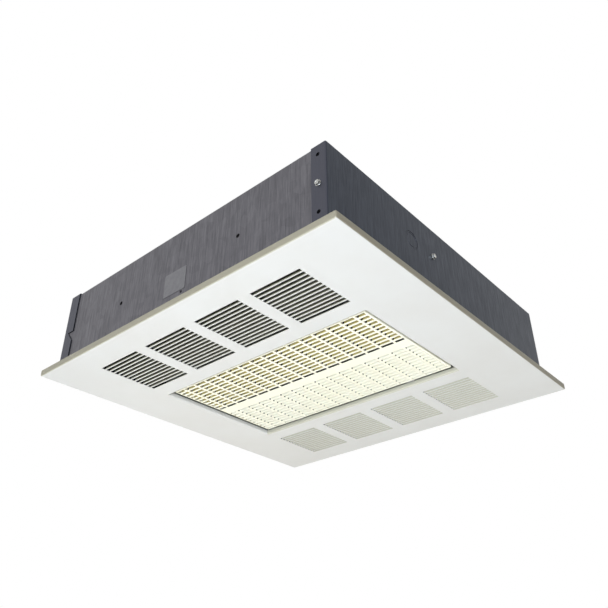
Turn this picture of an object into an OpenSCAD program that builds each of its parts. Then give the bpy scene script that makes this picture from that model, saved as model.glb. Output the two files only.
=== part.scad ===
// Fan-forced electric heater for a suspended ceiling, in millimetres.
// X runs along the louvres, Y across them and Z up. The lower face of the panel is z = 0.

/* [Face panel] */
// Side of the square panel
panel_l = 603; // [580:1:640]
// Sheet thickness of the panel
panel_t = 1; // [0.8:0.1:1.5]
// Height of the turned-up rim
rim_h = 9.5; // [6:0.5:14]
// Outside radius of the panel's bends
panel_bend_r = 2.4; // [2:0.1:3]
// Length of the discharge opening
open_l = 412; // [408:1:416]
// Width of the discharge opening
open_w = 240; // [238:1:244]
// Height of the lip turned up round the opening
lip_h = 7.2; // [5:0.1:7.5]
// Corner radius of the opening
open_corner_r = 2; // [1:0.5:6]

/* [Intake louvres] */
// Length of one intake louvre
intake_l = 86; // [70:1:90]
// Distance between neighbouring banks, centre to centre
bank_pitch = 108; // [100:1:112]
// Number of banks on each side
bank_count = 4; // [2:2:4]
// Louvres in one bank
intake_rows = 13; // [6:1:13]
// Distance between louvres
intake_pitch = 7.94; // [7.5:0.02:8.1]
// Width of one louvre window
intake_gap = 6; // [5:0.1:6.2]
// Distance from the centre line to the first window
intake_start = 152; // [150:1:154]
// Depth of one louvre blade
intake_blade = 6; // [5:0.1:7]
// Lean of the louvre blades from the sheet, in degrees
intake_tilt = 70; // [50:1:80]

/* [Discharge grille] */
// Length of the grille
grille_l = 397; // [396:1:400]
// Width of the grille
grille_w = 226; // [225:0.5:228]
// Sheet thickness of the grille
grille_t = 0.8; // [0.6:0.1:1]
// Height of the grille's turned-up edge
grille_edge_h = 8; // [7:0.5:10]
// Outside radius of the grille's bends
grille_bend_r = 1.6; // [1.4:0.1:1.8]
// How far the grille sits above the panel's face
grille_z = 5; // [4.5:0.25:5.5]
// Length of one full grille slot
slot_l = 22; // [18:0.5:23]
// Distance between grille columns
slot_pitch = 25.5; // [24.5:0.1:25.5]
// Number of full columns
slot_cols = 14; // [8:2:14]
// Length of the short slot that ends each row
end_slot_l = 15.5; // [6:0.5:15.5]
// Rows in each half of the grille
slot_rows = 11; // [6:1:11]
// Distance between grille rows
row_pitch = 9.42; // [9:0.02:9.48]
// Width of one grille window
slot_gap = 6.2; // [5:0.1:6.6]
// Distance from the centre line to the first row's centre
row_start = 13.4; // [10:0.1:14]
// Depth of one grille blade
slot_blade = 6.4; // [5:0.1:6.8]
// Lean of the grille blades from the sheet, in degrees
slot_tilt = 84; // [60:1:86]
// Radius of a hinge pin
pin_r = 2; // [1.5:0.1:2]
// Height of the hinge pins above the panel's face
pin_z = 10; // [9.75:0.25:10.5]
// Distance of the hinge pins from the grille's edge
pin_inset = 4.5; // [4.5:0.25:5]

/* [Casing] */
// Length of the casing over its end caps
casing_l = 559; // [556:1:566]
// Width of the casing over the wrapper's walls
casing_w = 561; // [556:1:566]
// Place of the casing's middle along X
casing_x = -4; // [-5:0.5:0]
// Place of the casing's middle along Y
casing_y = -2; // [-5:0.5:0]
// Height of the wrapper
casing_h = 145; // [144:1:160]
// Sheet thickness of the casing
case_t = 1.2; // [1:0.1:1.5]
// Outside radius of the casing's bends
case_bend_r = 2.4; // [2:0.1:3]
// Width of the wrapper's bottom flanges
base_flange = 18; // [15:1:22]
// Depth of the end caps' flanges
cap_flange = 24; // [22:1:30]
// Distance between the two hanger holes of a wall
hanger_pitch = 254; // [200:1:280]
// Radius of a hanger hole
hanger_r = 3.2; // [2.5:0.1:4]
// Height of the hanger holes
hanger_z = 75; // [60:1:90]
// Radius of the conduit knockout
knockout_r = 14.3; // [11:0.1:14.5]
// Place of the conduit knockout along Y, from the casing's middle
knockout_y = -98; // [-106:1:-90]
// Height of the conduit knockout
knockout_z = 95; // [85:1:98]

/* [Rating plate] */
// Length of the bare rating plate
plate_l = 46; // [30:1:50]
// Height of the bare rating plate
plate_h = 38; // [30:1:46]
// Thickness of the rating plate
plate_t = 0.4; // [0.3:0.1:0.8]
// Place of the plate's middle along X, from the casing's middle
plate_x = 2; // [-10:1:20]
// Height of the plate's middle
plate_z = 57; // [50:1:70]

/* [Duct and deck] */
// Length of the duct inside its walls
duct_l = 420; // [418:1:424]
// Width of the duct inside its walls
duct_w = 248; // [246:1:252]
// Height of the duct walls
duct_h = 72; // [70:1:74]
// Sheet thickness of the duct and deck
duct_t = 1.2; // [1:0.1:1.5]
// Outside radius of the duct's bends
duct_bend_r = 2.4; // [2:0.1:3]
// Width of the long duct walls' flanges
duct_flange = 12; // [10:1:14]
// Width of the end duct walls' flanges
duct_end_flange = 8; // [6:1:10]
// Radius of the fan orifice
orifice_r = 117; // [115:0.5:118]
// Height of the orifice ring
orifice_h = 16; // [12:1:18]
// Height of the deck's turned-up edge
deck_edge_h = 8; // [6:1:12]

/* [Heating elements] */
// Number of hairpin elements
element_count = 3; // [1:1:3]
// Distance between the two legs of a hairpin
leg_pitch = 40; // [36:1:40]
// Radius of an element's sheath
sheath_r = 5.5; // [4:0.1:6]
// Radius of the fins
fin_r = 15; // [12:0.5:16]
// Thickness of a fin
fin_t = 0.6; // [0.5:0.1:1]
// Distance between fins
fin_pitch = 8; // [6:0.5:12]
// Half length of the finned stretch
finned_half = 158; // [120:1:160]
// Place of the hairpin bends
bend_x = 168; // [166:1:170]
// Height of the elements
element_z = 44; // [40:1:48]

/* [Fan] */
// Radius of the fan
fan_r = 113; // [100:0.5:113]
// Height of the blades
fan_h = 27; // [20:1:27]
// Height of the fan's lower side
fan_z = 77; // [76.5:0.5:78]
// Number of blades
blade_count = 5; // [3:1:6]
// Thickness of a fan blade
blade_t = 1.4; // [1:0.1:2]
// Pitch of a fan blade, in degrees
blade_pitch = 21; // [15:1:25]
// Radius of a blade's camber
camber_r = 100; // [80:1:140]
// Radius of the hub
hub_r = 34; // [28:0.5:36]
// Height of the hub
hub_h = 20; // [16:1:22]
// Wall of the hub
hub_t = 2; // [1.5:0.1:3]
// Radius of the hub's boss
boss_r = 9; // [7:0.5:12]

/* [Motor] */
// Radius of the motor
motor_r = 46; // [42:1:55]
// Height of the motor's lower side
motor_z = 106; // [105.5:0.5:107]
// Height of the motor over its cover
motor_h = 32; // [30:1:32]
// Wall of the motor shell
motor_t = 1.5; // [1:0.1:2]
// Radius of the motor shaft
shaft_r = 4; // [3:0.1:5]
// Radius of the bearings
bearing_r = 8; // [7:0.1:9]
// Height of a bearing
bearing_h = 6; // [5:0.5:7]
// Running clearance of the shaft in its bearings
shaft_clearance = 0.05; // [0.02:0.01:0.1]
// Radius of the rotor
rotor_r = 22; // [18:0.5:24]
// Height of the rotor
rotor_h = 14; // [10:1:14]
// Gap between rotor and stator
air_gap = 0.6; // [0.4:0.1:1]
// Width of the motor bracket
bracket_w = 44; // [36:1:60]
// Sheet thickness of the motor bracket
bracket_t = 1.5; // [1.5:0.1:2]
// Half of the distance between the bracket's legs
bracket_half = 121; // [121:0.5:123]

/* [Wiring box] */
// Sheet thickness of the wiring box
box_t = 1; // [0.8:0.1:1.2]
// Height of the wiring box
box_h = 118; // [115:1:125]
// Place of the wiring box's front wall along Y
box_front_y = -150; // [-160:1:-145]
// Place of the wiring box's rear wall along Y
box_rear_y = 136; // [134:1:150]
// Place of the disconnect switch along Y
switch_y = -40; // [-44:1:-36]
// Place of the thermal cut-out along Y
cutout_y = 40; // [36:1:44]
// Height of the switch and the cut-out
control_z = 20; // [18:1:22]
// Swing of the disconnect switch's toggle from its middle, in degrees
toggle_swing = 13; // [8:1:16]
// Travel of the cut-out's reset button
button_travel = 1.5; // [1:0.1:2]

/* [Hidden] */
$fn = 48;
// Length by which every cut runs past its solid
overrun = 1;
// Gap left between sheets that lap, and between pieces that slide or seat loosely
seam = 0.2;
// Running clearance of pins and the toggle
pin_clearance = 0.05;
// Gap between a pushed piece and its guide
guide_gap = 0.3;

// Casing places, worked out from the sizes above
casing_z = panel_t;
cap_w = casing_w + 2 * (seam + case_t);
cap_h = casing_h + seam + case_t;
wrapper_l = casing_l - 2 * case_bend_r;
cap_hole_inset = 13;
cap_hole_r = 3;
cap_hole_low_z = 39;
cap_hole_drop = 16;
cap_hole_high_z = casing_z + casing_h - cap_hole_drop;
cap_screw_z = 83;
top_screw_y = 140;
notch_z = 75;
notch_depth = 14;
notch_h = 17;
vent_r = 2;
vent_x = 17.6;
vent_z = 34.5;

// Screws, studs and nuts
screw_r = 1.75;
screw_l = 9;
washer_r = 4.2;
washer_t = 0.8;
hex_w = 6.4;
hex_h = 2.6;
stud_r = 2;
stud_h = 9;
nut_w = 7;
nut_h = 3.2;
stud_inset = 9;
side_stud_pitch = 140;
side_stud_shares = [-1.5, -0.5, 0.5, 1.5];
end_stud_y = 205;

// Knockout slug and ground screw
slug_gap = 0.2;
slug_t = 0.8;
slug_recess = 0.3;
slug_tie_w = 3;
ground_y = -43.5;
ground_z = 96;
ground_l = 11;

// Grille places
pin_y = -grille_w / 2 + pin_inset;
pin_head_r = 2.8;
pin_head_t = 1.5;
pin_end = 3;
catch_x = 120;
catch_w = 14;
catch_t = 0.6;
catch_gap = 0.35;
catch_top_z = 30;
catch_knee_z = 17;
catch_nose_z = 9;
catch_tail_z = 6.2;
catch_tail_back = 2.5;

// Deck, duct and element places
deck_z = panel_t + duct_h;
deck_l = duct_l + 2 * (duct_t + duct_end_flange);
deck_w = duct_w + 2 * duct_flange;
box_x = duct_l / 2 + duct_t + duct_end_flange;
box_depth = casing_x + casing_l / 2 - case_bend_r - box_x;
box_z = panel_t + case_t;
sheath_past = 9;
sheath_end_x = box_x + box_t + sheath_past;
terminal_r = 2;
terminal_l = 13;
fin_count = floor(2 * finned_half / fin_pitch);
bushing_r = 8.5;
bushing_flange_r = 11;
bushing_flange_t = 2;
bead_r = 4.5;
bead_l = 7;
support_back = 6;
support_x = bend_x - support_back;
support_half = 118;
support_h = 30;
support_t = 1.2;

// Motor and bracket places
bracket_top_z = motor_z + motor_h;
bracket_foot = 12;
bracket_bend_r = 3;
foot_screw_x = 14;
motor_screw_r = 1.9;
motor_screw_y = 40;
motor_screw_head_r = 3.6;
motor_screw_head_h = 2.2;
motor_screw_l = 8;
shaft_inset = 3;
shaft_low_z = fan_z + shaft_inset;
shaft_high_z = motor_z + motor_h - shaft_inset;
bearing_wall = 2.5;
rotor_z = motor_z + (motor_h - rotor_h) / 2;
winding_r = 34;
winding_tube_r = 3.6;
motor_vents = 8;
motor_vent_w = 7;
motor_vent_in = 16;
motor_vent_out = 38;

// Fan planform, as shares of the fan's radius: along the blade, then across it
planform_shares = [[0.2, -0.16], [0.62, -0.27], [1.1, -0.24], [1.1, 0.3], [0.62, 0.24], [0.2, 0.15]];

// Pieces in the wiring box
block_y = -46;
block_z = 96;
block_l = 60;
block_w = 24;
block_h = 20;
block_poles = 4;
block_wall = 2;
block_cut = 8;
relay_y = 14;
relay_z = 94;
relay_l = 34;
relay_w = 32;
relay_h = 28;
relay_base_h = 4;
relay_r = 2;
tab_w = 5;
tab_t = 0.8;
tab_l = 8;
tab_pitch = 14;
transformer_y = 62;
transformer_z = 92;
core_l = 42;
core_w = 36;
core_h = 18;
coil_l = 24;
coil_w = 28;
coil_h = 32;
coil_r = 4;
delay_y = 108;
delay_z = 94;
delay_r = 14;
delay_h = 22;
delay_neck_r = 9;
delay_neck_h = 8;
delay_flange_l = 40;
delay_flange_w = 14;
delay_flange_t = 1.2;

// Disconnect switch and thermal cut-out
switch_l = 28;
switch_w = 18;
switch_h = 24;
neck_r = 6;
neck_bore_r = 3.9;
neck_past = 5;
neck_end_x = duct_l / 2 - neck_past;
ball_r = 3.2;
trunnion_r = 1;
trunnion_half = 3.6;
ball_past = 1;
ball_x = duct_l / 2 - ball_past;
lever_r = 1.5;
lever_tip_r = 2.6;
lever_l = 18;
switch_nut_w = 15;
switch_nut_h = 2.4;
cutout_r = 9;
cutout_h = 11;
cutout_neck_r = 4;
button_r = 2;
button_past = 6;
button_end_x = duct_l / 2 - button_past;
cutout_neck_past = 2.5;
cutout_neck_end_x = duct_l / 2 - cutout_neck_past;
button_cap_r = 3.2;
button_cap_t = 1.8;
button_cavity = 4;

// A block between three pairs of limits
module span(x, y, z) {
    translate([x[0], y[0], z[0]]) cube([x[1] - x[0], y[1] - y[0], z[1] - z[0]]);
}

// Round bars along each axis, between two limits
module rod_x(r, x) {
    translate([x[0], 0, 0]) rotate([0, 90, 0]) cylinder(r = r, h = x[1] - x[0]);
}

module rod_y(r, y) {
    translate([0, y[0], 0]) rotate([-90, 0, 0]) cylinder(r = r, h = y[1] - y[0]);
}

module rod_z(r, z) {
    translate([0, 0, z[0]]) cylinder(r = r, h = z[1] - z[0]);
}

// A hexagon of a given width across its flats
module hex(w, h) {
    cylinder(r = w / 2 / cos(30), h = h, $fn = 6);
}

// A rectangle with round corners
module round_rect_2d(l, w, r) {
    square([l - 2 * r, w], center = true);
    square([l, w - 2 * r], center = true);
    for (x = [-1, 1], y = [-1, 1]) translate([x * (l / 2 - r), y * (w / 2 - r)]) circle(r);
}

// Section of a turned-up edge: a quarter bend and an upright leg, with its outer side at zero
module bend_2d(h, t, r) {
    intersection() {
        translate([-r, r]) difference() {
            circle(r);
            circle(r - t);
        }
        translate([-r, 0]) square(r);
    }
    translate([-t, r]) square([t, h - r]);
}

// A drawn tray: a flat floor with all four edges turned up and round corners
module tray(l, w, h, t, r) {
    linear_extrude(t) square([l - 2 * r, w - 2 * r], center = true);
    for (side = [0:3]) {
        reach = side % 2 == 0 ? l : w;
        run = side % 2 == 0 ? w : l;
        rotate(90 * side) {
            translate([reach / 2, run / 2 - r, 0]) rotate([90, 0, 0]) linear_extrude(run - 2 * r)
                bend_2d(h, t, r);
            translate([reach / 2 - r, run / 2 - r, 0]) rotate_extrude(angle = 90) intersection() {
                translate([r, 0]) bend_2d(h, t, r);
                square([r, h]);
            }
        }
    }
}

// The lip turned up round an opening
module lip(l, w, corner_r, h, t, r) {
    for (side = [0:3]) {
        reach = side % 2 == 0 ? l : w;
        run = side % 2 == 0 ? w : l;
        rotate(90 * side) {
            translate([reach / 2, run / 2 - corner_r, 0]) rotate([90, 0, 0])
                linear_extrude(run - 2 * corner_r) mirror([1, 0]) bend_2d(h, t, r);
            translate([reach / 2 - corner_r, run / 2 - corner_r, 0]) rotate_extrude(angle = 90)
                translate([corner_r, 0]) mirror([1, 0]) bend_2d(h, t, r);
        }
    }
}

// Section of a channel: a web at zero and two flanges that run out to its depth
module channel_2d(depth, height, t, r) {
    intersection() {
        translate([depth, height / 2]) difference() {
            round_rect_2d(2 * depth, height, r);
            round_rect_2d(2 * (depth - t), height - 2 * t, r - t);
        }
        square([depth, height]);
    }
}

// Section of a formed strip that follows a list of points
module strip_2d(points, t) {
    for (i = [0:len(points) - 2]) {
        step = points[i + 1] - points[i];
        translate(points[i]) rotate(atan2(step[1], step[0])) translate([0, -t / 2])
            square([norm(step), t]);
    }
    for (p = points) translate(p) circle(d = t);
}

// Windows of a louvred field: columns as [start, length] pairs, rows stepping outwards
module louvre_windows(cols, rows, start, pitch, gap, t) {
    for (c = cols, i = [0:rows - 1])
        span([c[0], c[0] + c[1]], [start + i * pitch, start + i * pitch + gap], [-overrun, t + overrun]);
}

// Blades of a louvred field, each lanced from its window and left joined along the outer edge
module louvre_blades(cols, rows, start, pitch, gap, t, blade, tilt) {
    along = [-cos(tilt), sin(tilt)];
    across = [sin(tilt), cos(tilt)];
    for (c = cols, i = [0:rows - 1])
        translate([c[0], start + i * pitch + gap, 0]) rotate([90, 0, 90]) linear_extrude(c[1])
            polygon([[0, 0], blade * along, blade * along + t * across, t * across]);
}

// Columns of the intake banks, and of the grille with its short end slots
intake_cols = [
    for (b = [0:bank_count - 1]) [(b - (bank_count - 1) / 2) * bank_pitch - intake_l / 2, intake_l]
];
slot_edge = slot_cols * slot_pitch / 2 + (slot_pitch - slot_l) / 2;
grille_cols = concat(
    [[-slot_edge - end_slot_l, end_slot_l]],
    [for (c = [0:slot_cols - 1]) [(c - slot_cols / 2) * slot_pitch + (slot_pitch - slot_l) / 2, slot_l]],
    [[slot_edge, end_slot_l]]
);

// Puts children in the casing's own place, a little off the middle of the panel
module on_casing() {
    translate([casing_x, casing_y, 0]) children();
}

// Puts children at every panel stud, from the casing's middle
module at_studs() {
    for (x = side_stud_pitch * side_stud_shares, y = [-1, 1])
        translate([x, y * (casing_w / 2 - stud_inset), 0]) children();
    for (x = [-1, 1], y = [-1, 1]) translate([x * (casing_l / 2 - stud_inset), y * end_stud_y, 0]) children();
}

module face_panel() color("whitesmoke") {
    difference() {
        tray(panel_l, panel_l, rim_h, panel_t, panel_bend_r);
        translate([0, 0, -overrun]) linear_extrude(panel_t + 2 * overrun)
            round_rect_2d(open_l + 2 * panel_bend_r, open_w + 2 * panel_bend_r, open_corner_r + panel_bend_r);
        for (side = [0, 1]) mirror([0, side, 0])
            louvre_windows(intake_cols, intake_rows, intake_start, intake_pitch, intake_gap, panel_t);
    }
    lip(open_l, open_w, open_corner_r, lip_h, panel_t, panel_bend_r);
    for (side = [0, 1]) mirror([0, side, 0])
        louvre_blades(
            intake_cols, intake_rows, intake_start, intake_pitch, intake_gap, panel_t,
            intake_blade, intake_tilt
        );
    on_casing() at_studs() rod_z(stud_r, [panel_t / 2, stud_h]);
}

module rim_nuts() color("silver") {
    on_casing() at_studs() translate([0, 0, casing_z + case_t]) difference() {
        hex(nut_w, nut_h);
        rod_z(stud_r, [-overrun, nut_h + overrun]);
    }
}

module discharge_grille() color("ivory") {
    first = row_start - slot_gap / 2;
    translate([0, 0, grille_z]) {
        difference() {
            tray(grille_l, grille_w, grille_edge_h, grille_t, grille_bend_r);
            for (side = [0, 1]) mirror([0, side, 0])
                louvre_windows(grille_cols, slot_rows, first, row_pitch, slot_gap, grille_t);
            translate([0, pin_y, pin_z - grille_z])
                rod_x(pin_r, [-grille_l / 2 - overrun, grille_l / 2 + overrun]);
        }
        for (side = [0, 1]) mirror([0, side, 0])
            louvre_blades(
                grille_cols, slot_rows, first, row_pitch, slot_gap, grille_t, slot_blade, slot_tilt
            );
    }
}

module grille_pins() color("silver") {
    head_x = grille_l / 2 - grille_t - pin_head_t;
    for (side = [0, 1]) mirror([side, 0, 0]) translate([0, pin_y, pin_z]) {
        rod_x(pin_head_r, [head_x, head_x + pin_head_t]);
        rod_x(pin_r, [head_x, duct_l / 2 + duct_t + pin_end]);
    }
}

module grille_catches() color("silver") {
    wall_y = duct_w / 2 - catch_t / 2;
    nose_y = grille_w / 2 + catch_gap + catch_t / 2;
    for (x = [-1, 1]) translate([x * catch_x - catch_w / 2, 0, 0]) rotate([90, 0, 90]) linear_extrude(catch_w)
        strip_2d(
            [[wall_y, catch_top_z], [wall_y, catch_knee_z], [nose_y, catch_nose_z],
                [nose_y + catch_tail_back, catch_tail_z]],
            catch_t
        );
}

// Holes through both flanged walls near the corners, and the screw holes beside them
module flange_holes() {
    y = [-cap_w / 2 - overrun, cap_w / 2 + overrun];
    translate([casing_l / 2 - cap_hole_inset, 0, cap_hole_low_z]) rod_y(cap_hole_r, y);
    translate([casing_l / 2 - cap_hole_inset, 0, cap_hole_high_z]) rod_y(cap_hole_r, y);
    translate([casing_l / 2 - cap_hole_inset, 0, cap_screw_z]) rod_y(screw_r, y);
}

// Screw holes down through the casing's top, one pair at each end
module top_holes() {
    for (x = [-1, 1], y = [-1, 1]) translate([x * (casing_l / 2 - cap_hole_inset), y * top_screw_y, 0])
        rod_z(screw_r, [casing_z + casing_h - case_t - overrun, casing_z + cap_h + overrun]);
}

// Clearance holes round the panel studs
module stud_holes() {
    at_studs() rod_z(stud_r + seam, [0, casing_z + case_t + overrun]);
}

module casing_wrapper() color("silver") {
    mid_z = casing_z + casing_h / 2;
    on_casing() difference() {
        translate([-wrapper_l / 2, 0, 0]) rotate([90, 0, 90]) linear_extrude(wrapper_l) difference() {
            translate([0, mid_z]) round_rect_2d(casing_w, casing_h, case_bend_r);
            translate([0, mid_z])
                round_rect_2d(casing_w - 2 * case_t, casing_h - 2 * case_t, case_bend_r - case_t);
            translate([0, casing_z]) square([casing_w - 2 * base_flange, 4 * case_t], center = true);
        }
        for (x = [-1, 1]) translate([x * hanger_pitch / 2, 0, hanger_z])
            rod_y(hanger_r, [-cap_w / 2, cap_w / 2]);
        translate([vent_x, 0, vent_z]) rod_y(vent_r, [-cap_w / 2, 0]);
        flange_holes();
        top_holes();
        stud_holes();
    }
}

// One end cap: a tray on its side whose flanges lap the wrapper, relieved at its lower corners
module end_cap() {
    foot_y = casing_w / 2 - base_flange - seam;
    difference() {
        translate([casing_l / 2, 0, casing_z + cap_h / 2]) rotate([90, 0, -90])
            tray(cap_w, cap_h, cap_flange, case_t, case_bend_r);
        for (side = [0, 1]) mirror([0, side, 0])
            span(
                [casing_l / 2 - cap_flange - overrun, casing_l / 2 - case_t],
                [foot_y, cap_w],
                [0, casing_z + case_bend_r + seam]
            );
        top_holes();
        stud_holes();
    }
}

module end_cap_right() color("slategray") {
    wall_x = [casing_l / 2 - case_t - overrun, casing_l / 2 + overrun];
    on_casing() difference() {
        end_cap();
        flange_holes();
        translate([0, knockout_y, knockout_z]) rod_x(knockout_r, wall_x);
        translate([0, ground_y, ground_z]) rod_x(screw_r, wall_x);
    }
}

module end_cap_left() color("slategray") {
    edge_x = -casing_l / 2 + cap_flange;
    on_casing() difference() {
        mirror([1, 0, 0]) end_cap();
        translate([0, cap_w, 0]) rotate([90, 0, 0]) linear_extrude(2 * cap_w)
            polygon([
                [edge_x + overrun, notch_z], [edge_x - notch_depth, notch_z], [edge_x, notch_z - notch_h],
                [edge_x + overrun, notch_z - notch_h]
            ]);
    }
}

// A hexagon screw with a washer face, head up, its seat at z = 0
module washer_screw(shank) {
    rod_z(screw_r, [-shank, 0]);
    rod_z(washer_r, [0, washer_t]);
    translate([0, 0, washer_t]) hex(hex_w, hex_h);
}

module casing_screws() color("gainsboro") on_casing() {
    for (side = [0, 1]) mirror([0, side, 0])
        translate([casing_l / 2 - cap_hole_inset, -cap_w / 2, cap_screw_z]) rotate([90, 0, 0])
            washer_screw(screw_l);
    for (x = [-1, 1], y = [-1, 1])
        translate([x * (casing_l / 2 - cap_hole_inset), y * top_screw_y, casing_z + cap_h])
            washer_screw(screw_l);
}

module knockout_slug() color("slategray") {
    face_x = casing_l / 2 - slug_recess;
    on_casing() translate([0, knockout_y, knockout_z]) {
        rod_x(knockout_r - slug_gap, [face_x - slug_t, face_x]);
        intersection() {
            rod_x(knockout_r, [face_x - slug_t, face_x]);
            span([face_x - slug_t, face_x], [-slug_tie_w / 2, slug_tie_w / 2], [-knockout_r, knockout_r]);
        }
    }
}

module ground_screw() color("gainsboro") {
    on_casing() translate([casing_l / 2, ground_y, ground_z]) rotate([0, 90, 0]) washer_screw(ground_l);
}

module rating_plate() color("lightgray") {
    on_casing() translate([plate_x, -casing_w / 2, plate_z]) rotate([90, 0, 0]) linear_extrude(plate_t)
        round_rect_2d(plate_l, plate_h, case_bend_r);
}

// A duct wall: a channel whose flanges point away from the duct, its web from -l/2 to l/2
module duct_wall(l, flange) {
    translate([l / 2, 0, panel_t]) rotate([90, 0, -90]) mirror([1, 0, 0]) linear_extrude(l)
        channel_2d(flange, duct_h, duct_t, duct_bend_r);
}

// Screw holes that the feet of the motor bracket share with the deck and the duct's top flanges
module foot_holes() {
    for (x = [-1, 1], y = [-1, 1]) translate([x * foot_screw_x, y * (bracket_half + bracket_foot / 2), 0])
        rod_z(screw_r, [deck_z - duct_t - overrun, deck_z + duct_t + bracket_t + overrun]);
}

module duct_side() {
    difference() {
        translate([0, duct_w / 2, 0]) duct_wall(duct_l, duct_flange);
        foot_holes();
    }
}

module duct_front() color("lightgray") {
    mirror([0, 1, 0]) duct_side();
}

module duct_rear() color("lightgray") {
    duct_side();
}

module duct_end() {
    difference() {
        translate([duct_l / 2, 0, 0]) rotate(-90) duct_wall(duct_w, duct_end_flange + duct_t);
        translate([0, pin_y, pin_z])
            rod_x(pin_r + pin_clearance, [duct_l / 2 - overrun, duct_l / 2 + duct_t + overrun]);
    }
}

module duct_left() color("lightgray") {
    mirror([1, 0, 0]) duct_end();
}

// Holes for the element bushings, the switch's neck and the cut-out's, through duct wall and wiring box
module wall_holes() {
    x = [duct_l / 2 - overrun, box_x + box_t + overrun];
    at_legs() rod_x(bushing_r, x);
    translate([0, switch_y, control_z]) rod_x(neck_r, x);
    translate([0, cutout_y, control_z]) rod_x(cutout_neck_r, x);
}

module duct_right() color("lightgray") {
    difference() {
        duct_end();
        wall_holes();
    }
}

module fan_deck() color("lightgray") {
    translate([0, 0, deck_z]) {
        difference() {
            tray(deck_l, deck_w, deck_edge_h, duct_t, duct_bend_r);
            rod_z(orifice_r + duct_bend_r, [-overrun, duct_t + overrun]);
            translate([0, 0, -deck_z]) foot_holes();
        }
        rotate_extrude() translate([orifice_r, 0]) mirror([1, 0]) bend_2d(orifice_h, duct_t, duct_bend_r);
    }
}

// Middle of one hairpin, and children at every element leg
function hairpin_y(i) = (i - (element_count - 1) / 2) * 2 * leg_pitch;

module at_legs() {
    for (i = [0:element_count - 1], s = [-1, 1])
        translate([0, hairpin_y(i) + s * leg_pitch / 2, element_z]) children();
}

// One straight leg: sheath and fins as one turned profile, then its terminal pin
module element_leg() {
    fins = [
        for (i = [0:fin_count - 1], p = [[sheath_r, 0], [fin_r, 0], [fin_r, fin_t], [sheath_r, fin_t]])
            [p[0], -finned_half + i * fin_pitch + p[1]]
    ];
    rotate([0, 90, 0]) rotate_extrude() polygon(concat(
        [[0, -bend_x], [sheath_r, -bend_x]], fins, [[sheath_r, sheath_end_x], [0, sheath_end_x]]
    ));
    rod_x(terminal_r, [sheath_end_x, sheath_end_x + terminal_l]);
}

module hairpin(i) {
    translate([0, hairpin_y(i), element_z]) {
        for (s = [-1, 1]) translate([0, s * leg_pitch / 2, 0]) element_leg();
        translate([-bend_x, 0, 0]) rotate(90) rotate_extrude(angle = 180) translate([leg_pitch / 2, 0])
            circle(sheath_r);
    }
}

module element_front() color("dimgray") hairpin(0);

module element_middle() color("dimgray") hairpin(1);

module element_rear() color("dimgray") hairpin(2);

module element_support() color("lightgray") {
    difference() {
        union() {
            span(
                [-support_x, -support_x + support_t], [-support_half, support_half],
                [element_z - support_h / 2, deck_z]
            );
            span(
                [-support_x, -support_x + duct_flange], [-support_half, support_half],
                [deck_z - support_t, deck_z]
            );
        }
        at_legs() rod_x(sheath_r + seam, [-support_x - overrun, -support_x + duct_flange + overrun]);
    }
}

module element_bushings() color("white") {
    at_legs() difference() {
        union() {
            rod_x(bushing_r, [duct_l / 2 - bushing_flange_t, box_x + 2 * box_t]);
            rod_x(bushing_flange_r, [duct_l / 2 - bushing_flange_t, duct_l / 2]);
        }
        rod_x(sheath_r + seam, [duct_l / 2 - bushing_flange_t - overrun, box_x + 2 * box_t + overrun]);
    }
}

module terminal_insulators() color("white") {
    at_legs() difference() {
        rod_x(bead_r, [sheath_end_x, sheath_end_x + bead_l]);
        rod_x(terminal_r, [sheath_end_x - overrun, sheath_end_x + bead_l + overrun]);
    }
}

// One blade: a thin cylindrical shell cut to its planform
module fan_blade() {
    intersection() {
        blade_planform();
        translate([0, 0, fan_z + fan_h / 2]) rotate([blade_pitch, 0, 0]) translate([0, 0, -camber_r])
            difference() {
                rod_x(camber_r + blade_t / 2, [0, fan_r + overrun]);
                rod_x(camber_r - blade_t / 2, [-overrun, fan_r + 2 * overrun]);
            }
    }
}

module blade_planform() {
    translate([0, 0, fan_z]) linear_extrude(fan_h) intersection() {
        difference() {
            circle(fan_r);
            circle(hub_r - hub_t / 2);
        }
        polygon(fan_r * planform_shares);
    }
}

module fan_wheel() color("gray") {
    hub_z = fan_z + (fan_h - hub_h) / 2;
    difference() {
        union() {
            difference() {
                rod_z(hub_r, [hub_z, hub_z + hub_h]);
                rod_z(hub_r - hub_t, [hub_z + hub_t, hub_z + hub_h + overrun]);
            }
            rod_z(boss_r, [hub_z, hub_z + hub_h]);
            for (i = [0:blade_count - 1]) rotate(i * 360 / blade_count) fan_blade();
        }
        rod_z(shaft_r, [hub_z - overrun, hub_z + hub_h + overrun]);
    }
}

module motor_shaft() color("silver") rod_z(shaft_r, [shaft_low_z, shaft_high_z]);

module motor_rotor() color("dimgray") {
    difference() {
        rod_z(rotor_r, [rotor_z, rotor_z + rotor_h]);
        rod_z(shaft_r, [rotor_z - overrun, rotor_z + rotor_h + overrun]);
    }
}

module motor_stator() color("dimgray") {
    difference() {
        rod_z(motor_r - motor_t, [rotor_z, rotor_z + rotor_h]);
        rod_z(rotor_r + air_gap, [rotor_z - overrun, rotor_z + rotor_h + overrun]);
    }
}

module motor_windings() color("peru") {
    for (z = [rotor_z - winding_tube_r, rotor_z + rotor_h + winding_tube_r]) translate([0, 0, z])
        rotate_extrude() translate([winding_r, 0]) circle(winding_tube_r);
}

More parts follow.
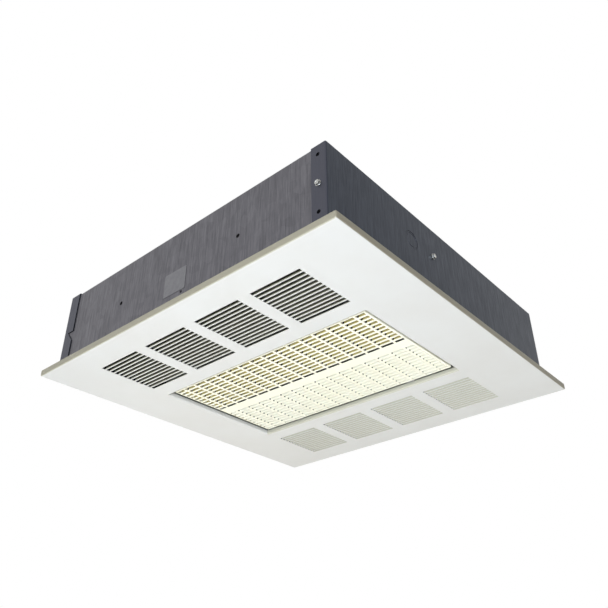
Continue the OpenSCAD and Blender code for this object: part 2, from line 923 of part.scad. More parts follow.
module motor_shell() color("darkgray") {
    difference() {
        union() {
            difference() {
                rod_z(motor_r, [motor_z, motor_z + motor_h - motor_t]);
                rod_z(motor_r - motor_t, [motor_z + motor_t, motor_z + motor_h]);
            }
            rod_z(bearing_r + bearing_wall, [motor_z, motor_z + bearing_h]);
        }
        rod_z(bearing_r, [motor_z + motor_t, motor_z + bearing_h + overrun]);
        rod_z(shaft_r + guide_gap, [motor_z - overrun, motor_z + bearing_h]);
        for (i = [0:motor_vents - 1]) rotate((i + 0.5) * 360 / motor_vents)
            span([motor_vent_in, motor_vent_out], [-motor_vent_w / 2, motor_vent_w / 2],
                [motor_z - overrun, motor_z + motor_t + overrun]);
    }
}

module motor_cover() color("darkgray") {
    top = motor_z + motor_h;
    difference() {
        union() {
            rod_z(motor_r, [top - motor_t, top]);
            rod_z(bearing_r + bearing_wall, [top - motor_t - bearing_h, top - motor_t]);
        }
        rod_z(bearing_r, [top - motor_t - bearing_h - overrun, top - motor_t]);
        for (y = [-1, 1]) translate([0, y * motor_screw_y, 0])
            rod_z(motor_screw_r, [top - motor_t - overrun, top + overrun]);
    }
}

module motor_bearings() color("goldenrod") {
    for (z = [motor_z + motor_t, motor_z + motor_h - bearing_h - motor_t / 2]) difference() {
        rod_z(bearing_r, [z, z + bearing_h - motor_t]);
        rod_z(shaft_r + shaft_clearance, [z - overrun, z + bearing_h]);
    }
}

module motor_bracket() color("lightgray") {
    low = deck_z + duct_t;
    high = bracket_top_z + bracket_t;
    reach = bracket_half + bracket_foot;
    difference() {
        translate([-bracket_w / 2, 0, 0]) rotate([90, 0, 90]) linear_extrude(bracket_w) {
            difference() {
                translate([0, low])
                    round_rect_2d(2 * (bracket_half + bracket_t), 2 * (high - low), bracket_bend_r);
                translate([0, low]) round_rect_2d(
                    2 * bracket_half, 2 * (high - low - bracket_t), bracket_bend_r - bracket_t
                );
                translate([-reach, 2 * low - high - overrun]) square([2 * reach, high - low + overrun]);
            }
            for (s = [-1, 1]) translate([s * (bracket_half + bracket_foot / 2), low + bracket_t / 2])
                square([bracket_foot, bracket_t], center = true);
        }
        for (y = [-1, 1]) translate([0, y * motor_screw_y, 0])
            rod_z(motor_screw_r, [high - bracket_t - overrun, high + overrun]);
        foot_holes();
    }
}

module motor_screws() color("gainsboro") {
    top = bracket_top_z + bracket_t;
    for (y = [-1, 1]) translate([0, y * motor_screw_y, top]) {
        rod_z(motor_screw_head_r, [0, motor_screw_head_h]);
        rod_z(motor_screw_r, [-motor_screw_l, 0]);
    }
}

module bracket_screws() color("gainsboro") {
    for (x = [-1, 1], y = [-1, 1])
        translate([x * foot_screw_x, y * (bracket_half + bracket_foot / 2), deck_z + duct_t + bracket_t]) {
            rod_z(screw_r, [-screw_l / 2, 0]);
            rod_z(washer_r - washer_t, [0, hex_h]);
        }
}

module wiring_box() color("lightgray") {
    mid_y = (box_front_y + box_rear_y) / 2;
    difference() {
        translate([box_x, mid_y, box_z + box_h / 2]) rotate([90, 0, 90])
            tray(box_rear_y - box_front_y, box_h, box_depth, box_t, case_bend_r);
        wall_holes();
    }
}

// Puts children on the wiring box's back wall, with X out of the wall
module on_box_wall(y, z) {
    translate([box_x + box_t, y, z]) children();
}

module terminal_block() color("black") {
    pole = block_l / block_poles;
    on_box_wall(block_y, block_z) difference() {
        span([0, block_h], [-block_l / 2, block_l / 2], [-block_w / 2, block_w / 2]);
        for (i = [0:block_poles - 1], s = [0, 1]) mirror([0, 0, s])
            span(
                [block_h - block_cut, block_h + overrun],
                [i * pole - block_l / 2 + block_wall, (i + 1) * pole - block_l / 2 - block_wall],
                [block_wall, block_w]
            );
    }
}

module terminal_screws() color("gold") {
    pole = block_l / block_poles;
    on_box_wall(block_y, block_z)
        for (i = [0:block_poles - 1], s = [-1, 1])
            translate([0, (i + 0.5) * pole - block_l / 2, s * (block_w / 2 + block_wall) / 2])
                rod_x(pole / 4, [block_h - block_cut, block_h - block_cut / 2]);
}

module element_relay() color("whitesmoke") {
    on_box_wall(relay_y, relay_z) {
        span([0, relay_base_h], [-relay_l / 2, relay_l / 2], [-relay_w / 2, relay_w / 2]);
        translate([relay_base_h, 0, 0]) rotate([90, 0, 90]) linear_extrude(relay_h - relay_base_h)
            round_rect_2d(relay_l - relay_r, relay_w - relay_r, relay_r);
        for (y = [-1, 1], z = [-1, 1])
            span([relay_h, relay_h + tab_l],
                [y * tab_pitch / 2 - tab_w / 2, y * tab_pitch / 2 + tab_w / 2],
                [z * tab_pitch / 2 - tab_t / 2, z * tab_pitch / 2 + tab_t / 2]);
    }
}

module delay_relay() color("saddlebrown") {
    on_box_wall(delay_y, delay_z) {
        rotate([90, 0, 90]) linear_extrude(delay_flange_t)
            round_rect_2d(delay_flange_w, delay_flange_l, relay_r);
        rod_x(delay_neck_r, [0, delay_h]);
        rod_x(delay_r, [delay_neck_h, delay_h]);
        for (y = [-1, 1])
            span([delay_h, delay_h + tab_l],
                [y * tab_pitch / 2 - tab_t / 2, y * tab_pitch / 2 + tab_t / 2], [-tab_w / 2, tab_w / 2]);
    }
}

module control_transformer() color("darkslategray") {
    on_box_wall(transformer_y, transformer_z) {
        translate([(coil_h - core_h) / 2, 0, 0])
            span([0, core_h], [-core_l / 2, core_l / 2], [-core_w / 2, core_w / 2]);
        rotate([90, 0, 90]) linear_extrude(coil_h) round_rect_2d(coil_l, coil_w, coil_r);
    }
}

module switch_body() color("black") {
    translate([0, switch_y, control_z]) difference() {
        union() {
            span(
                [box_x + box_t, box_x + box_t + switch_h], [-switch_l / 2, switch_l / 2],
                [-switch_w / 2, switch_w / 2]
            );
            rod_x(neck_r, [neck_end_x, box_x + 2 * box_t]);
        }
        rod_x(neck_bore_r, [neck_end_x - overrun, box_x]);
    }
}

// The toggle turns about Y on the trunnion of its ball, inside the threaded neck, and rests at its upper end
module switch_toggle() color("silver") {
    translate([ball_x, switch_y, control_z]) rotate([0, toggle_swing, 0]) {
        sphere(ball_r);
        rod_y(trunnion_r, [-trunnion_half, trunnion_half]);
        rotate([0, 90, 0]) rod_z(lever_r, [0, 2 * ball_r]);
        rotate([0, -90, 0]) rotate_extrude() polygon([
            [0, 0], [lever_r, 0], [lever_tip_r, lever_l - lever_tip_r], [lever_tip_r, lever_l], [0, lever_l]
        ]);
    }
}

module switch_nut() color("silver") {
    translate([duct_l / 2 - switch_nut_h, switch_y, control_z]) difference() {
        rotate([0, 90, 0]) hex(switch_nut_w, switch_nut_h);
        rod_x(neck_r, [-overrun, switch_nut_h + overrun]);
    }
}

module cutout_body() color("black") {
    translate([0, cutout_y, control_z]) difference() {
        union() {
            rod_x(cutout_r, [box_x + box_t, box_x + box_t + cutout_h]);
            rod_x(cutout_neck_r, [cutout_neck_end_x, box_x + 2 * box_t]);
        }
        rod_x(button_r + guide_gap, [cutout_neck_end_x - overrun, box_x + box_t + button_cavity]);
    }
}

module cutout_button() color("red") {
    translate([0, cutout_y, control_z]) {
        rod_x(button_r, [button_end_x, box_x + box_t + button_cavity - button_travel - guide_gap]);
        rod_x(button_cap_r, [button_end_x, button_end_x + button_cap_t]);
    }
}

face_panel();
rim_nuts();
discharge_grille();
grille_pins();
grille_catches();
casing_wrapper();
end_cap_right();
end_cap_left();
casing_screws();
knockout_slug();
ground_screw();
rating_plate();
duct_front();
duct_rear();
duct_left();
duct_right();
fan_deck();
element_front();
element_middle();
element_rear();
element_support();
element_bushings();
terminal_insulators();
fan_wheel();
motor_shaft();
motor_rotor();
motor_stator();
motor_windings();
motor_shell();
motor_cover();
motor_bearings();
motor_bracket();
motor_screws();
bracket_screws();
wiring_box();
terminal_block();
terminal_screws();
element_relay();
delay_relay();
control_transformer();
switch_body();
switch_toggle();
switch_nut();
cutout_body();
cutout_button();
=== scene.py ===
"""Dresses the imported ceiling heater: finishes for every part, a few modelled details, light and camera."""

import logging
import math
from dataclasses import dataclass
from enum import Enum
from typing import Any, ClassVar, Sequence

import bpy
import numpy as np
from mathutils import Matrix, Vector


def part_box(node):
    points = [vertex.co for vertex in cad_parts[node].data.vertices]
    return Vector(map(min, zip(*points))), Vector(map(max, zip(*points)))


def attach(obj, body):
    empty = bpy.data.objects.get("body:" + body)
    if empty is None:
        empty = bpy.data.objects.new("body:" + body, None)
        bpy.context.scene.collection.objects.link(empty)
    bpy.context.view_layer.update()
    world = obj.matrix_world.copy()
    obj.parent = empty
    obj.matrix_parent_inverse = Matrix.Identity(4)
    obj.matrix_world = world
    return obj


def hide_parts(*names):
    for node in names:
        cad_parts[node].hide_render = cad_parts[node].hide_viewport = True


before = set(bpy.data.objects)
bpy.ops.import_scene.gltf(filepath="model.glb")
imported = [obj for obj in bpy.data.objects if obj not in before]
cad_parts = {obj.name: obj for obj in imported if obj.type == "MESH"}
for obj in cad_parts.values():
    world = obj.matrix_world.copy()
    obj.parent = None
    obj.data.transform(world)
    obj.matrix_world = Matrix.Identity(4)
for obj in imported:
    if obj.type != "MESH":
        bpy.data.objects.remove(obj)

LOG = logging.getLogger("ceiling_heater")
MM = 0.001
CASING_BODY = "casing"
HEX_SIDES = 6
CONE_SLOPE = math.tan(math.radians(30))  # how fast a hexagon's coned face falls
CONE_START = 0.12  # mm from a hexagon's top to where the cone begins on its flats
Array = np.ndarray


# Colours and node helpers


def linear(hex_colour: str) -> tuple[float, float, float, float]:
    """Turns an sRGB hex colour into linear RGBA.

    Args:
        hex_colour: Six hex digits, such as "e8e6e0".

    Returns:
        The linear colour with an alpha of 1.
    """
    shares = [int(hex_colour[i:i + 2], 16) / 255 for i in (0, 2, 4)]
    curve = [s / 12.92 if s <= 0.04045 else ((s + 0.055) / 1.055) ** 2.4 for s in shares]
    return (curve[0], curve[1], curve[2], 1.0)


def add(
    tree: bpy.types.NodeTree, kind: str, inputs: dict[Any, Any] | None = None, **settings: Any
) -> bpy.types.Node:
    """Adds one shader node with its settings, values and links.

    Args:
        tree: The node tree that gets the node.
        kind: The node's type without its "ShaderNode" prefix.
        inputs: Socket name or number to a value, or to the output socket that feeds it.
        settings: Attributes of the node, such as operation="MULTIPLY".

    Returns:
        The new node.
    """
    node = tree.nodes.new("ShaderNode" + kind)
    for name, value in settings.items():
        setattr(node, name, value)
    for name, value in (inputs or {}).items():
        if isinstance(value, bpy.types.NodeSocket):
            tree.links.new(value, node.inputs[name])
        else:
            node.inputs[name].default_value = value
    return node


def ramp(
    tree: bpy.types.NodeTree, fac: bpy.types.NodeSocket, stops: Sequence[tuple[float, str]]
) -> bpy.types.NodeSocket:
    """Adds a colour ramp.

    Args:
        tree: The node tree.
        fac: The socket that drives the ramp.
        stops: Place and hex colour of each stop, in rising order.

    Returns:
        The ramp's colour output.
    """
    node = add(tree, "ValToRGB", {"Fac": fac})
    elements = node.color_ramp.elements
    for _ in range(len(stops) - len(elements)):
        elements.new(0.5)
    for element, (place, colour) in zip(elements, stops):
        element.position = place
        element.color = linear(colour)
    return node.outputs["Color"]


def fade(
    tree: bpy.types.NodeTree, value: bpy.types.NodeSocket, low: float, high: float,
    to: tuple[float, float] = (0.0, 1.0)
) -> bpy.types.NodeSocket:
    """Maps a value in a straight line between two ends, and holds it past them.

    Args:
        tree: The node tree.
        value: The socket to map.
        low: The value that gives the first result.
        high: The value that gives the last result.
        to: The first and the last result.

    Returns:
        The result's socket.
    """
    return add(tree, "MapRange", {
        "Value": value, "From Min": low, "From Max": high, "To Min": to[0], "To Max": to[1],
    }).outputs["Result"]


def tint(
    tree: bpy.types.NodeTree, share: bpy.types.NodeSocket, tone: bpy.types.NodeSocket, colour: str
) -> bpy.types.NodeSocket:
    """Mixes a hex colour over a tone.

    Args:
        tree: The node tree.
        share: The socket with the colour's share, from 0 to 1.
        tone: The socket with the tone under it.
        colour: The hex colour.

    Returns:
        The mixed colour's socket.
    """
    return add(tree, "Mix", {0: share, 6: tone, 7: linear(colour)}, data_type="RGBA").outputs[2]


def lean(tree: bpy.types.NodeTree) -> bpy.types.NodeSocket:
    """How far a face turns towards Y, either way: the size of its normal's Y part."""
    normal = add(tree, "SeparateXYZ", {0: add(tree, "TexCoord").outputs["Normal"]})
    return add(tree, "Math", {0: normal.outputs["Y"]}, operation="ABSOLUTE").outputs[0]


class Grain(Enum):
    """Which way a sheet's rolling marks run, as the noise's scale along X, Y and Z."""

    ALONG_X = (4.0, 320.0, 320.0)
    ALONG_Z = (480.0, 480.0, 28.0)


# Finishes


@dataclass(frozen=True)
class Skin:
    """What a finish feeds into its shader: its tone, its relief, and its roughness where that varies."""

    tone: bpy.types.NodeSocket
    height: bpy.types.NodeSocket
    strength: float
    depth_mm: float
    gloss: bpy.types.NodeSocket | None = None


@dataclass(frozen=True)
class Finish:
    """What every finish shares: a name, a colour and the shader's plain values."""

    name: str
    colour: str
    roughness: float = 0.45
    metallic: float = 0.0
    ior: float = 1.5

    def skin(self, tree: bpy.types.NodeTree, place: bpy.types.NodeSocket) -> Skin:
        """Adds the nodes that make a kind of finish what it is; each kind has its own.

        Args:
            tree: The material's node tree.
            place: The Object coordinates.

        Returns:
            What goes into the shader.
        """
        raise NotImplementedError

    def build(self) -> bpy.types.Material:
        """Makes the material.

        Returns:
            The finished material.
        """
        material = bpy.data.materials.new(self.name)
        material.use_nodes = True
        tree = material.node_tree
        shader = tree.nodes["Principled BSDF"]
        shader.inputs["Base Color"].default_value = linear(self.colour)
        shader.inputs["Metallic"].default_value = self.metallic
        shader.inputs["Roughness"].default_value = self.roughness
        if not self.metallic:
            shader.inputs["IOR"].default_value = self.ior
        skin = self.skin(tree, add(tree, "TexCoord").outputs["Object"])
        relief = add(tree, "Bump", {
            "Height": skin.height, "Strength": skin.strength, "Distance": skin.depth_mm * MM})
        tree.links.new(skin.tone, shader.inputs["Base Color"])
        tree.links.new(relief.outputs["Normal"], shader.inputs["Normal"])
        if skin.gloss:
            tree.links.new(skin.gloss, shader.inputs["Roughness"])
        return material


@dataclass(frozen=True)
class PowderCoat(Finish):
    """Powder coat on steel: fine orange peel and a very slight unevenness of tone.

    It may carry painted shade on faces turned towards Y and on faces that point up, and another colour on a
    rim.
    """

    shade: str = "d9d8d4"
    peel_mm: float = 1.6
    # painted shade: a greyer colour on faces turned towards Y, such as sloping louvre blades
    slope: str = ""
    slope_shade_from: tuple[float, float] = (0.1, 0.3)
    # painted shade: a darker colour on faces that point up, such as blade backs inside the casing
    back: str = ""
    back_shade_from: tuple[float, float] = (0.03, 0.09)
    rim: str = ""
    rim_mm: float = 0.0
    rim_fade_mm: tuple[float, float] = (1.2, 0.6)

    def skin(self, tree: bpy.types.NodeTree, place: bpy.types.NodeSocket) -> Skin:
        """Mottles the coat, adds painted shade on Y-turned and upward faces, and tints the rim where those
        have a colour.

        Args:
            tree: The material's node tree.
            place: The Object coordinates.

        Returns:
            The coat.
        """
        cloud = add(tree, "TexNoise", {"Vector": place, "Scale": 7.0, "Detail": 3.0, "Roughness": 0.6})
        tone = ramp(tree, cloud.outputs["Fac"], [(0.3, self.shade), (0.62, self.colour)])
        # painted shade, greyer on faces turned towards Y
        if self.slope:
            tone = tint(tree, fade(tree, lean(tree), *self.slope_shade_from), tone, self.slope)
        # painted shade, darker on faces that point up
        if self.back:
            normal = add(tree, "SeparateXYZ", {0: add(tree, "TexCoord").outputs["Normal"]})
            tone = tint(tree, fade(tree, normal.outputs["Z"], *self.back_shade_from), tone, self.back)
        if self.rim:
            parts = add(tree, "SeparateXYZ", {
                0: add(tree, "VectorMath", {0: place}, operation="ABSOLUTE").outputs[0]})
            reach = add(tree, "Math", {0: parts.outputs["X"], 1: parts.outputs["Y"]}, operation="MAXIMUM")
            edge = [(self.rim_mm - inside) * MM for inside in self.rim_fade_mm]
            tone = tint(tree, fade(tree, reach.outputs[0], *edge), tone, self.rim)
        peel = add(tree, "TexNoise", {"Vector": place, "Scale": 1 / (self.peel_mm * MM), "Detail": 2.0})
        gloss = fade(tree, cloud.outputs["Fac"], 0.0, 1.0, (self.roughness - 0.05, self.roughness + 0.07))
        return Skin(tone, peel.outputs["Fac"], strength=0.12, depth_mm=0.05, gloss=gloss)


@dataclass(frozen=True)
class RolledSheet(Finish):
    """Bare or galvanised sheet: long rolling marks, and spangle where it is hot-dipped.

    A bent flange that faces along Y may get a painted sheen: a lighter colour where it catches the light.
    """

    shade: str = "55565a"
    light: str = "8e8f92"
    grain: Grain = Grain.ALONG_Z
    spangle_mm: float = 14.0
    spangle: float = 0.35
    # painted sheen: a lighter colour on bent flanges that face along Y
    flange: str = ""
    flange_sheen_from: tuple[float, float] = (0.3, 0.8)

    def skin(self, tree: bpy.types.NodeTree, place: bpy.types.NodeSocket) -> Skin:
        """Stretches the rolling marks and blends the spangle in.

        Args:
            tree: The material's node tree.
            place: The Object coordinates.

        Returns:
            The sheet.
        """
        stretched = add(tree, "Mapping", {"Vector": place, "Scale": self.grain.value})
        marks = add(tree, "TexNoise", {
            "Vector": stretched.outputs["Vector"], "Scale": 1.0, "Detail": 5.0, "Roughness": 0.65,
        })
        cells = add(tree, "TexVoronoi", {"Vector": place, "Scale": 1 / (self.spangle_mm * MM)})
        flake = add(tree, "RGBToBW", {"Color": cells.outputs["Color"]})
        blend = add(tree, "Mix", {0: self.spangle, 2: marks.outputs["Fac"], 3: flake.outputs["Val"]})
        tone = ramp(tree, blend.outputs[0], [(0.28, self.shade), (0.5, self.colour), (0.72, self.light)])
        # painted sheen, lighter on flanges that face along Y
        if self.flange:
            tone = tint(tree, fade(tree, lean(tree), *self.flange_sheen_from), tone, self.flange)
        gloss = fade(tree, blend.outputs[0], 0.25, 0.75, (self.roughness + 0.12, self.roughness - 0.08))
        return Skin(tone, marks.outputs["Fac"], strength=0.25, depth_mm=0.08, gloss=gloss)


@dataclass(frozen=True)
class MachinedMetal(Finish):
    """Plated or turned small parts: fine scratches and a faint bloom."""

    shade: str = "8d8b84"
    scratch_mm: float = 0.35

    def skin(self, tree: bpy.types.NodeTree, place: bpy.types.NodeSocket) -> Skin:
        """Lays fine scratches over the bloom.

        Args:
            tree: The material's node tree.
            place: The Object coordinates.

        Returns:
            The metal.
        """
        bloom = add(tree, "TexNoise", {"Vector": place, "Scale": 160.0, "Detail": 4.0})
        tone = ramp(tree, bloom.outputs["Fac"], [(0.35, self.shade), (0.65, self.colour)])
        scratch = add(tree, "TexNoise", {"Vector": place, "Scale": 1 / (self.scratch_mm * MM), "Detail": 3.0})
        gloss = fade(tree, scratch.outputs["Fac"], 0.0, 1.0, (self.roughness - 0.08, self.roughness + 0.12))
        return Skin(tone, scratch.outputs["Fac"], strength=0.15, depth_mm=0.02, gloss=gloss)


@dataclass(frozen=True)
class Moulded(Finish):
    """Moulded plastic, phenolic or fired porcelain: an even colour with a fine skin."""

    shade: str = "0c0c0d"
    skin_mm: float = 0.5
    relief: float = 0.1

    def skin(self, tree: bpy.types.NodeTree, place: bpy.types.NodeSocket) -> Skin:
        """Adds slow flow marks and a fine skin.

        Args:
            tree: The material's node tree.
            place: The Object coordinates.

        Returns:
            The moulding.
        """
        flow = add(tree, "TexNoise", {"Vector": place, "Scale": 60.0, "Detail": 2.0})
        tone = ramp(tree, flow.outputs["Fac"], [(0.3, self.shade), (0.7, self.colour)])
        grit = add(tree, "TexNoise", {"Vector": place, "Scale": 1 / (self.skin_mm * MM), "Detail": 2.0})
        return Skin(tone, grit.outputs["Fac"], strength=self.relief, depth_mm=0.03)


@dataclass(frozen=True)
class Laminated(Finish):
    """Stacked or wound metal: fine lines a set distance apart along one axis."""

    shade: str = "1b1b1d"
    step_mm: float = 0.6
    direction: str = "Z"

    def skin(self, tree: bpy.types.NodeTree, place: bpy.types.NodeSocket) -> Skin:
        """Draws the lines as a wave of the layers' thickness.

        Args:
            tree: The material's node tree.
            place: The Object coordinates.

        Returns:
            The stack.
        """
        lines = add(tree, "TexWave", {
            "Vector": place, "Scale": math.pi / (10 * self.step_mm * MM), "Distortion": 0.4, "Detail": 1.0,
        }, bands_direction=self.direction)
        tone = ramp(tree, lines.outputs["Fac"], [(0.1, self.shade), (0.6, self.colour)])
        return Skin(tone, lines.outputs["Fac"], strength=0.6, depth_mm=0.15)


class Library:
    """Every finish of the heater, made once and kept under the record's slot names."""

    # White polyester powder coat on the panel: soft sheen, faint peel, grey painted shade on blades turned
    # towards Y, dark olive painted shade on faces that point up, and beige-grey on the rim's outer side
    PANEL = PowderCoat(
        "white_powder_coat", "dddddb", 0.42, shade="d9d8d5", slope="bebbab", back="706d5a", rim="97917f",
        rim_mm=301.5)
    # Cream powder coat on the grille: warmer, the same peel, with a yellow-olive painted shade on faces that
    # point up
    GRILLE = PowderCoat("cream_powder_coat", "fffce9", 0.45, shade="fefae3", back="d2c07c")
    # Hot-dipped galvanised steel that has dulled: vertical rolling marks over a faint spangle
    GALVANISED = RolledSheet(
        "galvanised_sheet", "66656a", 0.42, 1.0, shade="58575b", light="747378", spangle=0.12)
    # Cold-rolled steel with a smooth blue-grey passivation, and a lighter grey painted sheen on the bent
    # flanges
    CAP = RolledSheet(
        "passivated_cap_sheet", "30353f", 0.42, 1.0, shade="2d323b", light="343a45", spangle=0.04,
        flange="4f5059")
    # Aluminised sheet inside the casing: pale, matt, rolled along the louvres
    ALUMINISED = RolledSheet(
        "aluminised_sheet", "a5a5a2", 0.4, 1.0, shade="8b8b88", light="b9b9b6", grain=Grain.ALONG_X,
        spangle=0.15)
    # Bright zinc plate on screws, nuts and pins
    ZINC = MachinedMetal("zinc_plate", "c4c4c0", 0.3, 1.0, shade="a3a39f")
    # Satin aluminium foil of the bare rating plate
    FOIL = MachinedMetal("satin_foil", "7d7d80", 0.4, 1.0, shade="76767a")
    # Steel fins and sheaths browned by heat
    FINS = MachinedMetal("heat_browned_steel", "6f655c", 0.5, 1.0, shade="433e3b")
    # Glazed steatite of the bushings and beads
    CERAMIC = Moulded("glazed_steatite", "efeadd", 0.18, 0.0, 1.6, shade="e4decf", relief=0.04)
    # Stamped aluminium of the fan wheel
    FAN = MachinedMetal("stamped_aluminium", "b4b6b8", 0.36, 1.0, shade="9c9ea1")
    # Varnished electrical steel of rotor, stator and transformer core
    CORE = Laminated("varnished_laminations", "48484c", 0.4, 0.8, step_mm=0.8)
    # Black enamel on the motor's shell and cover
    ENAMEL = PowderCoat("black_enamel", "1d1d20", 0.35, shade="161618")
    # Varnished copper wire of the windings
    COPPER = Laminated(
        "enamelled_copper", "a35a2c", 0.35, 1.0, shade="5d2f16", step_mm=0.7, direction="DIAGONAL")
    # Oil-filled sintered bronze of the bearings
    BRONZE = MachinedMetal("sintered_bronze", "a68550", 0.4, 1.0, shade="8a6d3e")
    # Black phenolic of terminal block and switch
    PHENOLIC = Moulded("black_phenolic", "17171a", 0.38)
    # Brass terminal screws
    BRASS = MachinedMetal("brass", "c9a95c", 0.28, 1.0, shade="b0904a")
    # White nylon of the element relay
    NYLON = Moulded("white_nylon", "e6e6e2", 0.4, shade="dededa", relief=0.06)
    # Brown phenolic of the delay relay and the cut-out
    BROWN = Moulded("brown_phenolic", "5a3219", 0.34, shade="482611")
    # Red nylon of the reset button
    RED = Moulded("red_nylon", "b5160f", 0.3, shade="a5120c", relief=0.04)

    SLOTS: dict[str, Finish] = {
        "panel_white": PANEL, "grille_cream": GRILLE, "galvanised": GALVANISED, "cap_steel": CAP,
        "inner_sheet": ALUMINISED, "zinc": ZINC, "plate_grey": FOIL, "fin_steel": FINS, "ceramic": CERAMIC,
        "fan_alloy": FAN, "core_steel": CORE, "motor_paint": ENAMEL, "copper": COPPER, "bronze": BRONZE,
        "black_plastic": PHENOLIC, "brass": BRASS, "relay_white": NYLON, "relay_brown": BROWN,
        "red_plastic": RED,
    }

    def __init__(self) -> None:
        """Makes every finish once."""
        self.made = {slot: finish.build() for slot, finish in self.SLOTS.items()}


# Numpy surfaces, all in millimetres until a piece is finished


def turns(count: int) -> Array:
    """Evenly spaced angles once round, in radians, without the last that would repeat the first."""
    return np.arange(count) / count * 2 * np.pi


def polygon_reach(theta: Array, half_width: float, sides: int) -> Array:
    """Distance to a regular polygon's edge: half width over the cosine of the angle from a flat's middle.

    Args:
        theta: Angles from a corner, in radians.
        half_width: Half of the width across two flats.
        sides: Number of sides.

    Returns:
        The distance at each angle.
    """
    step = 2 * np.pi / sides
    return half_width / np.cos(np.mod(theta, step) - step / 2)


def cross_reach(theta: Array, arm: float, half_width: float, crossed: bool) -> Array:
    """Distance from the middle to the edge of a slot or cross: the nearer of an arm's end and an arm's side.

    Args:
        theta: Angles from the first arm, in radians.
        arm: Length of an arm from the middle.
        half_width: Half of the arm's width.
        crossed: True for a cross of two bars, False for a single bar.

    Returns:
        The distance at each angle.
    """
    along, across = np.abs(np.cos(theta)), np.abs(np.sin(theta))
    if crossed:
        along, across = np.maximum(along, across), np.minimum(along, across)
    return np.minimum(arm / np.maximum(along, 1e-6), half_width / np.maximum(across, 1e-6))


def rows_about_z(theta: Array, reach: Sequence[Any], height: Sequence[Any]) -> Array:
    """Rows of points about Z: each row is (r cos, r sin, z), where r and z may change round the row.

    Args:
        theta: The angle of each column.
        reach: One radius, or one per column, for each row.
        height: One height, or one per column, for each row.

    Returns:
        An array of rows by columns by 3.
    """
    radius = np.stack([np.broadcast_to(r, theta.shape) for r in reach])
    level = np.stack([np.broadcast_to(z, theta.shape) for z in height])
    return np.stack([radius * np.cos(theta), radius * np.sin(theta), level], axis=-1)


def thread_rows(
    theta: Array, start: float, end: float, crest: float, depth: float, pitch: float, steps: int = 6
) -> Array:
    """A thread: the radius falls from the crest by a triangle wave of z / pitch less the share of a turn.

    Args:
        theta: The angle of each column.
        start: Height of the first row.
        end: Height of the last row, above or below the first.
        crest: Radius at the crest.
        depth: Depth of the thread; negative for an inner thread that is cut outwards.
        pitch: Distance between crests.
        steps: Rows to a pitch.

    Returns:
        Rows of points.
    """
    level = np.linspace(start, end, max(2, int(abs(end - start) / pitch * steps)))[:, None]
    wave = np.abs(2 * np.mod(level / pitch - theta / (2 * np.pi), 1.0) - 1)
    radius = crest - depth * wave
    return np.stack([radius * np.cos(theta), radius * np.sin(theta), level + 0 * radius], axis=-1)


class Facing(Enum):
    """Where a piece's own Z points; the rows are the matrix that turns it there."""

    UP = ((1, 0, 0), (0, 1, 0), (0, 0, 1))
    FRONT = ((1, 0, 0), (0, 0, -1), (0, 1, 0))
    BACK = ((1, 0, 0), (0, 0, 1), (0, -1, 0))
    RIGHT = ((0, 0, 1), (1, 0, 0), (0, 1, 0))


@dataclass(frozen=True)
class Surface:
    """A grid of points, closed round its columns. A ring closes along its rows too; other ends get fans."""

    points: Array
    ring: bool = False

    def shell(self) -> tuple[Array, list[list[int]]]:
        """Turns the grid into a closed mesh.

        Returns:
            The points as one list, and the faces, outward when columns run anticlockwise along the rows.
        """
        rows, columns = self.points.shape[:2]
        flat = self.points.reshape(-1, 3)
        spans = rows if self.ring else rows - 1
        row, column = np.meshgrid(np.arange(spans), np.arange(columns), indexing="ij")
        next_row, next_column = (row + 1) % rows, (column + 1) % columns
        quads = np.stack([
            row * columns + column, row * columns + next_column,
            next_row * columns + next_column, next_row * columns + column,
        ], axis=-1).reshape(-1, 4)
        if self.ring:
            return flat, quads.tolist()
        here = np.arange(columns)
        after = (here + 1) % columns
        last = (rows - 1) * columns
        fans = np.concatenate([
            np.stack([np.full(columns, rows * columns), after, here], axis=-1),
            np.stack([np.full(columns, rows * columns + 1), last + here, last + after], axis=-1),
        ])
        middles = self.points[[0, -1]].mean(axis=1)
        return np.concatenate([flat, middles]), quads.tolist() + fans.tolist()


class Piece:
    """One named mesh, gathered from surfaces and their placed copies."""

    def __init__(self, name: str) -> None:
        """Starts an empty piece.

        Args:
            name: The object's name.
        """
        self.name = name
        self.points: list[Array] = []
        self.faces: list[list[int]] = []
        self.count = 0

    def add(
        self, surface: Surface, places: Sequence[Sequence[float]] = ((0, 0, 0),), facing: Facing = Facing.UP
    ) -> "Piece":
        """Adds copies of a surface: each point is turned by the facing, then moved to its place.

        Args:
            surface: The surface, about its own origin.
            places: Where each copy goes, in millimetres.
            facing: Where the surface's Z points.

        Returns:
            The piece itself.
        """
        points, faces = surface.shell()
        turned = points @ np.array(facing.value, dtype=float).T
        for place in places:
            self.points.append(turned + np.array(place, dtype=float))
            self.faces += [[corner + self.count for corner in face] for face in faces]
            self.count += len(points)
        return self

    def finish(self, library: Library, slot: str, node: str, crease: float = 38.0) -> bpy.types.Object:
        """Makes the object at the origin, in metres, on the casing, and shows it instead of a CAD node.

        Args:
            library: The finishes.
            slot: The record's material slot.
            node: The CAD node that it stands for.
            crease: Edges sharper than this stay sharp, in degrees.

        Returns:
            The finished object.
        """
        mesh = bpy.data.meshes.new(self.name)
        mesh.from_pydata((np.concatenate(self.points) * MM).tolist(), [], self.faces)
        mesh.polygons.foreach_set("use_smooth", np.ones(len(mesh.polygons), dtype=bool))
        mesh.set_sharp_from_angle(angle=math.radians(crease))
        mesh.materials.append(library.made[slot])
        piece = bpy.data.objects.new(self.name, mesh)
        bpy.context.scene.collection.objects.link(piece)
        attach(piece, CASING_BODY)
        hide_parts(node)
        LOG.info("%s: %d faces", self.name, len(mesh.polygons))
        return piece


# Fasteners


class Recess(Enum):
    """What a driver turns: its arm as a share of the head's radius, and whether it is a cross."""

    CROSS = (0.42, True)
    SLOT = (0.44, False)


